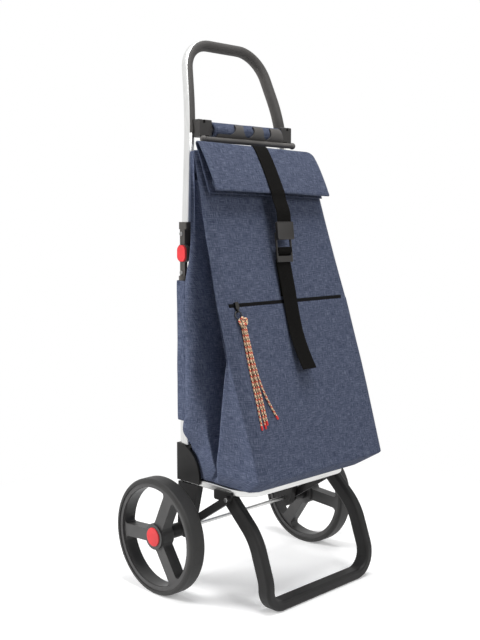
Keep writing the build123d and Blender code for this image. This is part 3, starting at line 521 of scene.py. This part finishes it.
def bag_cloth(column, row):
    """Place of a point on the flat cloth, counted from the middle of the front."""
    reach = lengths_along(bag_corners(bag_rows[row]))
    run, share = bag_columns[column]
    far = reach[min(run + 1, last_run)]
    return reach[run] + share * (far - reach[run]) - reach[last_run // 2], bag_rows[row]


bag_bm = mapped_grid(len(bag_columns) - 1, len(bag_rows) - 1, bag_point, bag_cloth)
mouth_low, mouth_high, mouth_half = 0.803, 0.855, 0.142
mouth = [
    face
    for face in bag_bm.faces
    if mouth_low < face.calc_center_median().z < mouth_high
    and abs(face.calc_center_median().x) < mouth_half
    and face.normal.y < -0.5
]
bmesh.ops.delete(bag_bm, geom=mouth, context="FACES")
for level in (bag_bottom, bag_rim):
    rim = [e for e in bag_bm.edges if all(abs(v.co.z - level) < 0.0001 for v in e.verts)]
    bmesh.ops.holes_fill(bag_bm, edges=rim, sides=0)
bmesh.ops.recalc_face_normals(bag_bm, faces=bag_bm.faces)
bag = piece_from(bag_bm, "bag_canvas", denim, "base_frame", "denim_canvas", "bag_body")
thicken(bag, canvas_thickness)


# Tube sleeves: strips of the same canvas folded round the lower tubes and
# sewn to the back of the bag, which keep it on the frame.
sleeve_x = 0.143
sleeve_y = axle_y + 0.005
sleeve_bottom = 0.334
sleeve_top = 0.6125
sleeve_columns = 40
sleeve_rows = 36
sleeve_radius = 0.0136
sleeve_crease = 0.0009
sleeve_square = 1.22
sleeve_seam_y = axle_y - 0.0102
sleeve_width = 0.09
sleeve_length = 0.277
sleeve_thickness = 0.0018


def sleeve_point(side):
    """Points of one sleeve: round at the back and flat towards the bag."""
    def place(column, row):
        turn = tau * column / sleeve_columns
        z = sleeve_bottom + (sleeve_top - sleeve_bottom) * row / sleeve_rows
        spot = Vector((cos(turn) * 2, sin(turn) * 2 + side, z * 16))
        reach = sleeve_radius + sleeve_crease * noise.noise(spot)
        across = max(-1.0, min(1.0, sleeve_square * cos(turn)))
        back = max(-1.0, min(1.0, sleeve_square * sin(turn)))
        y = sleeve_y + reach * back
        if back < -0.6:
            y = min(y, sleeve_seam_y)
        return Vector((side * sleeve_x + reach * across, y, z))

    return place


def sleeve_cloth(column, row):
    """Place of a point on the sleeve's flat cloth."""
    return sleeve_width * column / sleeve_columns, sleeve_length * row / sleeve_rows


for side, word in ((-1, "left"), (1, "right")):
    sleeve_bm = mapped_grid(sleeve_columns, sleeve_rows, sleeve_point(side), sleeve_cloth)
    sleeve = piece_from(
        sleeve_bm, "sleeve_" + word, denim, "base_frame", "denim_canvas", "tube_sleeve_" + word
    )
    thicken(sleeve, sleeve_thickness)

# Flap: the top of the bag folded over to the front. One long piece of canvas
# runs up the front, doubles over the ridge and comes down to a turned hem.
flap_axis_z = 0.8685
flap_half = 0.160
flap_drop = 0.0975
ridge_radius = 0.0046
ridge_out = 0.0053
flap_profile = [
    (-0.0965, 0.0092),
    (-0.0955, 0.0080),
    (-0.065, 0.0066),
    (-0.030, 0.0045),
    (-0.008, 0.0029),
]
for angle in (30, 70, 110, 150):
    turn = radians(angle)
    flap_profile.append((ridge_radius * sin(turn), ridge_out - ridge_radius * cos(turn)))
last_ridge_row = len(flap_profile) - 1
flap_profile += [
    (-0.010, 0.0126),
    (-0.025, 0.0168),
    (-0.040, 0.0203),
    (-0.055, 0.0234),
    (-0.070, 0.0261),
    (-0.0845, 0.0284),
    (-0.0860, 0.0280),
    (-0.0875, 0.0288),
    (-0.0950, 0.0299),
    (-0.0975, 0.0292),
    (-0.0965, 0.0272),
    (-0.088, 0.0254),
    (-0.076, 0.0236),
]
flap_columns = 64
flap_overhang = 0.0045
flap_taper = 0.0035
ridge_lift, ridge_tilt = -0.0004, -0.0195
hem_lift, hem_tilt = -0.001, -0.019
droop_depth, droop_width, droop_reach = 0.006, 0.016, 0.02
wave_depth = 0.0020


def flap_point(column, row):
    """A point of the flap: a ridge that tilts a little, and a hem that hangs lower to the right."""
    up, out = flap_profile[row]
    front = 1.0 if row > last_ridge_row else 0.3
    low = min(1.0, max(0.0, -up / flap_drop))
    left = flap_half + flap_overhang - flap_taper * low
    across = -left + (left + flap_half) * column / flap_columns
    tilt = (ridge_lift + ridge_tilt * across) * (1 - low) + (hem_lift + hem_tilt * across) * low
    near_end = max(0.0, (across - flap_half + droop_width) / droop_width)
    droop = droop_depth * near_end ** 2 * max(0.0, 1 + up / droop_reach)
    wave = wave_depth * (sin(across * 21 + 0.6) + 0.6 * sin(across * 47)) * low * front
    return on_panel(flap_axis_z, across, up + tilt - droop, out + wave)


flap_reach = lengths_along(flap_profile)


def flap_cloth(column, row):
    """Place of a point on the flap's flat cloth."""
    return 2 * flap_half * column / flap_columns, flap_reach[row]


flap_bm = mapped_grid(flap_columns, len(flap_profile) - 1, flap_point, flap_cloth)
flap = piece_from(flap_bm, "flap_canvas", denim, "flap", "denim_canvas", "bag_flap")
thicken(flap, canvas_thickness, offset=0.0)


# Hanger loop: the canvas of the bag's back, taken up between the tubes and
# rolled round the hanger bar, which carries the top of the bag.
hanger_y = axle_y - 0.017
hanger_z = 0.904
roll_half = 0.096
roll_columns = 40
roll_turn = 44
roll_radius = 0.0158
roll_crease = 0.0007
roll_length = 0.1
roll_thickness = 0.006


def roll_point(column, row):
    """A point of the cloth roll, drawn tight with a few soft creases."""
    across = -roll_half + 2 * roll_half * column / roll_columns
    angle = tau * row / roll_turn
    crease = roll_crease * noise.noise(Vector((across * 30, cos(angle) * 3, sin(angle) * 3)))
    reach = roll_radius + crease
    return Vector((across, hanger_y + reach * cos(angle), hanger_z + reach * sin(angle)))


def roll_cloth(column, row):
    """Place of a point on the roll's flat cloth."""
    return 2 * roll_half * column / roll_columns, roll_length * row / roll_turn


roll_bm = mapped_grid(roll_columns, roll_turn, roll_point, roll_cloth)
roll = piece_from(roll_bm, "hanger_roll", denim, "handle_frame", "denim_canvas", "hanger_loop")
thicken(roll, roll_thickness)


# Strap: black polyester webbing sewn above the zip, threaded through the
# buckle, taken over the flap and fixed behind the ridge, with a loose tail.
def webbing_finish(name, colour):
    """Ribbed webbing with a faint lengthwise cord and a cross rib."""
    material, tree, shader = painted(name, colour, 0.62)
    shader.inputs["Specular IOR Level"].default_value = 0.02
    lint = speckle(tree, 1.0, (900, 240, 1), 2.0, "UV")
    low = tuple(0.7 * part for part in colour)
    high = tuple(1.7 * part for part in colour)
    tree.links.new(shade(tree, lint, (0.3, low), (0.75, high)), shader.inputs["Base Color"])
    for axis, scale, strength in (("X", 150, 0.45), ("Y", 240, 0.35)):
        spot = add_node(tree, "ShaderNodeTexCoord")
        ribs = add_node(tree, "ShaderNodeTexWave", Scale=scale, Distortion=0.3)
        ribs.bands_direction = axis
        tree.links.new(spot.outputs["UV"], ribs.inputs["Vector"])
        relief(tree, shader, ribs.outputs["Fac"], strength, 0.0004)
    return material


webbing = webbing_finish("black_webbing", (0.0058, 0.0055, 0.0052))
strap_half = 0.020
strap_thickness = 0.0018
strap_columns = 8
buckle_up = Vector((0, 0.11462, 0.99341))
buckle_out = Vector((0, -0.99341, 0.11462))
buckle_middle = Vector((0, axle_y - 0.1275, 0.687))


def on_buckle(up, out):
    """A point in the buckle's middle plane."""
    return buckle_middle + up * buckle_up + out * buckle_out


def smooth_line(points, steps):
    """Points read from a smooth curve through the neighbourhood of a few points."""
    curve = bpy.data.curves.new("line", "CURVE")
    curve.dimensions = "3D"
    spline = curve.splines.new("NURBS")
    spline.points.add(len(points) - 1)
    for place, point in zip(spline.points, points):
        place.co = (*point, 1)
    spline.order_u = 3
    spline.use_endpoint_u = True
    spline.resolution_u = steps
    holder = bpy.data.objects.new("line", curve)
    mesh = bpy.data.meshes.new_from_object(holder)
    found = [v.co.copy() for v in mesh.vertices]
    bpy.data.objects.remove(holder)
    bpy.data.curves.remove(curve)
    bpy.data.meshes.remove(mesh)
    return found


def strap(name, points, *nodes, body="base_frame"):
    """A length of webbing along a line in the middle plane."""
    line = smooth_line(points, 8)
    reach = lengths_along(line)

    def place(column, row):
        across = strap_half * (2 * column / strap_columns - 1)
        return line[row] + Vector((across, 0, 0))

    def cloth(column, row):
        return 2 * strap_half * column / strap_columns, reach[row]

    bm = mapped_grid(strap_columns, len(line) - 1, place, cloth)
    piece = piece_from(bm, name, webbing, body, "webbing", *nodes)
    thicken(piece, strap_thickness, offset=0.0)


strap(
    "strap_over_flap",
    [
        on_panel(flap_axis_z, 0, 0.0035, 0.0015),
        on_panel(flap_axis_z, 0, 0.0068, 0.0042),
        on_panel(flap_axis_z, 0, 0.0045, 0.0108),
        on_panel(flap_axis_z, 0, -0.020, 0.0180),
        on_panel(flap_axis_z, 0, -0.050, 0.0248),
        on_panel(flap_axis_z, 0, -0.085, 0.0310),
        on_panel(flap_axis_z, 0, -0.0985, 0.0335),
        on_panel(flap_axis_z, 0, -0.110, 0.0320),
        on_buckle(0.060, 0.0045),
        on_buckle(0.0395, 0.0035),
        on_buckle(0.030, 0.0035),
    ],
    "strap_upper",
    body="flap",
)
strap(
    "strap_loose_tail",
    [
        on_buckle(-0.0100, 0.0009),
        on_buckle(-0.0175, 0.0009),
        on_buckle(-0.0200, 0.0002),
        on_buckle(-0.0255, -0.0062),
        on_buckle(-0.0300, -0.0064),
        on_buckle(-0.0403, -0.0064),
        on_panel(0.600, 0, 0, 0.0085),
        on_panel(0.570, 0, 0, 0.0066),
        on_panel(0.530, 0, 0, 0.0048),
        on_panel(0.505, 0, 0, 0.0055),
        on_panel(0.470, 0, 0, 0.0112),
        on_panel(0.445, 0, 0, 0.0182),
        on_panel(0.4375, 0, 0, 0.0205),
    ],
    "strap_tail",
)
strap(
    "strap_sewn_end",
    [
        on_buckle(-0.0330, -0.0086),
        on_buckle(-0.0420, -0.0090),
        on_panel(0.605, 0, 0, 0.0060),
        on_panel(0.5805, 0, 0, 0.0022),
    ],
    "strap_anchor",
)

# Buckle: two moulded halves. The hook plate hangs from the upper strap and
# laps over the loop, a frame with a window, a cross bar and an end bar.
buckle_nylon = moulded("buckle_nylon", (0.022, 0.020, 0.0185), 0.36)
buckle_place = Matrix.Identity(4)
for axis, direction in enumerate((Vector((1, 0, 0)), buckle_up, buckle_out)):
    buckle_place.col[axis] = (*direction, 0)
buckle_place.col[3] = (*buckle_middle, 1)


def box_mesh(size, middle):
    """A box given by its size and its middle."""
    bm = bmesh.new()
    bmesh.ops.create_cube(bm, size=1)
    bmesh.ops.scale(bm, vec=size, verts=bm.verts)
    bmesh.ops.translate(bm, vec=middle, verts=bm.verts)
    return bm


def round_edges(bm, edges, width, steps=3):
    """Bevel some edges of a mesh to a round."""
    bmesh.ops.bevel(
        bm,
        geom=edges,
        offset=width,
        segments=steps,
        profile=0.5,
        affect="EDGES",
        material=-1,
    )


hook_size = (0.046, 0.035, 0.0068)
hook_middle = (0, 0.02176, 0.0035)
hook_border = 0.0028
hook_dish = 0.0009
hook_corner = 0.003
hook_edge = 0.0006
sharp = radians(50)
hook_bm = box_mesh(hook_size, hook_middle)
upright = [e for e in hook_bm.edges if abs(e.verts[0].co.z - e.verts[1].co.z) > hook_size[2] / 2]
round_edges(hook_bm, upright, hook_corner)
face = max(hook_bm.faces, key=lambda f: f.calc_center_median().z)
bmesh.ops.inset_region(hook_bm, faces=[face], thickness=hook_border, depth=0)
bmesh.ops.translate(hook_bm, vec=(0, 0, -hook_dish), verts=face.verts)
rim = [e for e in hook_bm.edges if e.calc_face_angle(0) > sharp]
round_edges(hook_bm, rim, hook_edge, 2)
bmesh.ops.transform(hook_bm, matrix=buckle_place, verts=hook_bm.verts)
piece_from(hook_bm, "buckle_hook_plate", buckle_nylon, "flap", "buckle_plastic", "buckle_hook")

loop_across = [-0.0222, -0.0188, 0.0188, 0.0222]
loop_up = [-0.03926, -0.0272, -0.0170, -0.0096, 0.0150, 0.0192]
loop_out = -0.0026
loop_thickness = 0.0042
loop_edge = 0.0009
strap_slot, hook_window = loop_up[1:3], loop_up[3:5]


def loop_point(column, row):
    """A corner of the loop's flat frame."""
    return Vector((loop_across[column], loop_up[row], loop_out))


loop_bm = mapped_grid(3, 5, loop_point, lambda column, row: (column, row))
openings = [
    f
    for f in loop_bm.faces
    if abs(f.calc_center_median().x) < loop_across[2]
    and any(low < f.calc_center_median().y < high for low, high in (strap_slot, hook_window))
]
bmesh.ops.delete(loop_bm, geom=openings, context="FACES")
bmesh.ops.solidify(loop_bm, geom=list(loop_bm.faces), thickness=loop_thickness)
depths = [v.co.z for v in loop_bm.verts]
shift = loop_out - (min(depths) + max(depths)) / 2
bmesh.ops.translate(loop_bm, vec=(0, 0, shift), verts=loop_bm.verts)
bmesh.ops.recalc_face_normals(loop_bm, faces=loop_bm.faces)
rim = [e for e in loop_bm.edges if e.calc_face_angle(0) > sharp]
round_edges(loop_bm, rim, loop_edge, 2)
bmesh.ops.transform(loop_bm, matrix=buckle_place, verts=loop_bm.verts)
piece_from(loop_bm, "buckle_frame", buckle_nylon, "base_frame", "buckle_plastic", "buckle_loop")

# Pocket zip: a black coil zip set into a seam across the front, with a closed
# coil under the tape and a dark slider, ring and knotted cords at one end.
zip_z = seam_z
zip_half = 0.162
zip_columns = 60
zip_fold = 0.0015
zip_thickness = 0.0008
zip_section = [
    (-0.0050, 0.0002),
    (-0.0046, 0.0010),
    (-0.0012, 0.0015),
    (-0.0005, 0.0010),
    (0.0005, 0.0010),
    (0.0012, 0.0015),
    (0.0046, 0.0010),
    (0.0050, 0.0002),
]


def zip_point(column, row):
    """A point of the zip's tape."""
    across = -zip_half + 2 * zip_half * column / zip_columns
    up, out = zip_section[row]
    return on_panel(zip_z, across, up, out)


def zip_cloth(column, row):
    """Place of a point on the zip's flat tape."""
    return 2 * zip_half * column / zip_columns, zip_fold * row


zip_black = webbing_finish("zip_black", (0.0075, 0.0075, 0.008))
zip_bm = mapped_grid(zip_columns, len(zip_section) - 1, zip_point, zip_cloth)
zip_piece = piece_from(zip_bm, "zip_band", zip_black, "base_frame", "zip_tape", "zip_tape")
thicken(zip_piece, zip_thickness, rounds=0)
dark_metal = satin_metal("dark_plating", (0.055, 0.053, 0.05), 0.25, 0.42, (3, 3, 3))
dress(dark_metal, "zip_slider", "puller_ring")


# Pull: four ends of braided cord, cream with orange-red and black flecks,
# knotted round the ring and sealed at the tips with red sleeves.
def braid(name, cream, flame, black):
    """Braided cord: two families of yarns that cross, a few of them coloured."""
    material, tree, shader = painted(name, cream, 0.75)
    spot = add_node(tree, "ShaderNodeTexCoord")
    split = add_node(tree, "ShaderNodeSeparateXYZ")
    tree.links.new(spot.outputs["UV"], split.inputs[0])
    pitch, ply_width = 1.15, 0.125
    families = []
    for lean in (pitch, -pitch):
        turn = maths(tree, "MULTIPLY_ADD", split.outputs["Y"], lean, split.outputs["X"])
        families.append(maths(tree, "FRACT", turn))
    stops = ((0.0, cream), (0.48, cream), (0.52, flame), (0.80, flame), (0.84, cream))
    base = shade(tree, families[0], *stops)
    flecks = shade(tree, families[1], (0.0, (0, 0, 0)), (0.82, (0, 0, 0)), (0.85, (1, 1, 1)))
    mixed = add_node(tree, "ShaderNodeMix")
    mixed.data_type = "RGBA"
    tree.links.new(flecks, mixed.inputs["Factor"])
    tree.links.new(base, mixed.inputs[6])
    mixed.inputs[7].default_value = (*black, 1)
    tree.links.new(mixed.outputs[2], shader.inputs["Base Color"])
    for family in families:
        relief(tree, shader, maths(tree, "PINGPONG", family, ply_width), 0.5, 0.002)
    return material


cord_braid = braid("cord_braid", (0.72, 0.53, 0.34), (0.55, 0.055, 0.03), (0.045, 0.03, 0.03))
cord_radius = 0.002
cord_sides = 10
slider_x = -0.146
cord_routes = [
    # millimetres across, up and out from the slider
    [(2.7, -40.5, 5.2), (3.6, -80, 2.8), (2.6, -129, 2.7), (4.2, -178, 2.7), (3.6, -226, 2.7)],
    [(7.3, -40.5, 5.2), (9.2, -81, 2.8), (8.6, -131, 2.7), (11.0, -180, 2.7), (13.0, -225, 2.7)],
    [(2.7, -40.5, 9.7), (6.0, -79, 7.4), (7.2, -127, 7.3), (14.0, -176, 7.2), (18.0, -219, 3.6)],
    [(7.3, -40.5, 9.7), (10.6, -80, 7.4), (13.6, -128, 7.6), (25.0, -172, 4.6), (46.0, -213, 2.8)],
]


def round_tube(line, radius, sides, closed=False):
    """A round tube along points, with turns and lengths in braid units as UV."""
    count = len(line)
    reach = lengths_along(line)
    frames = []
    side = panel_out.copy()
    for index in range(count):
        before = line[index - 1] if index or closed else line[index]
        after = line[(index + 1) % count] if index + 1 < count or closed else line[index]
        ahead = (after - before).normalized()
        side = (side - side.dot(ahead) * ahead).normalized()
        frames.append((side.copy(), ahead.cross(side)))

    def place(column, row):
        first, second = frames[row % count]
        angle = tau * column / sides
        return line[row % count] + radius * (cos(angle) * first + sin(angle) * second)

    def turns(column, row):
        length = reach[row] if row < count else 2 * reach[-1] - reach[-2]
        return column / sides, length / (tau * radius)

    return mapped_grid(sides, count if closed else count - 1, place, turns)


cord_tips = moulded("cord_tip_red", (0.62, 0.035, 0.035), 0.35)
tip_length = 0.009
tip_sides = 12
tip_shares = [0, 0.1, 0.85, 0.96, 1.0]
tip_sizes = [0.0020, 0.00215, 0.0021, 0.0017, 0.0004]
for number, route in enumerate(cord_routes, start=1):
    points = [on_panel(zip_z, slider_x + a / 1000, up / 1000, out / 1000) for a, up, out in route]
    line = smooth_line(points, 10)
    length = lengths_along(line)[-1]
    cord_bm = round_tube(line, cord_radius, cord_sides)
    cord = piece_from(
        cord_bm, f"cord_{number}", cord_braid, "puller", "pull_cord", f"pull_cord_{number}"
    )
    tip_end = points[-1] + tip_length * (points[-1] - points[-2]).normalized()
    tip_way = tip_end - points[-1]
    tip_line = [points[-1] + share * tip_way for share in tip_shares]
    tip_bm = round_tube(tip_line, 1.0, tip_sides)
    for vert in tip_bm.verts:
        gaps = [abs((vert.co - station).dot(tip_way)) for station in tip_line]
        near = gaps.index(min(gaps))
        vert.co = tip_line[near] + tip_sizes[near] * (vert.co - tip_line[near])
    bmesh.ops.holes_fill(tip_bm, edges=[e for e in tip_bm.edges if e.is_boundary], sides=0)
    tip = piece_from(tip_bm, f"tip_{number}", cord_tips, "puller", "cord_tip", f"cord_tip_{number}")
    tuple(points[0])
    [tuple(point) for point in line]

knot_middle = on_panel(zip_z, slider_x + 0.005, -0.0315, 0.0085)
knot_steps = 180
knot_turns, knot_lobes = 3, 4
knot_reach, knot_swing, knot_depth = 0.0053, 0.0035, 0.0036
knot_width, knot_slant = 1.05, 0.0006
knot_radius = 0.0021
knot_line = []
for step in range(knot_steps):
    turn = tau * step / knot_steps
    reach = knot_reach + knot_swing * cos(knot_lobes * turn)
    across = knot_width * reach * cos(knot_turns * turn)
    up = reach * sin(knot_turns * turn) + knot_slant * sin(turn)
    out = knot_depth * sin(knot_lobes * turn)
    knot_line.append(knot_middle + Vector((across, 0, 0)) + up * panel_up + out * panel_out)
knot_bm = round_tube(knot_line, knot_radius, cord_sides, closed=True)
piece_from(knot_bm, "cord_knot", cord_braid, "puller", "pull_cord", "puller_knot")
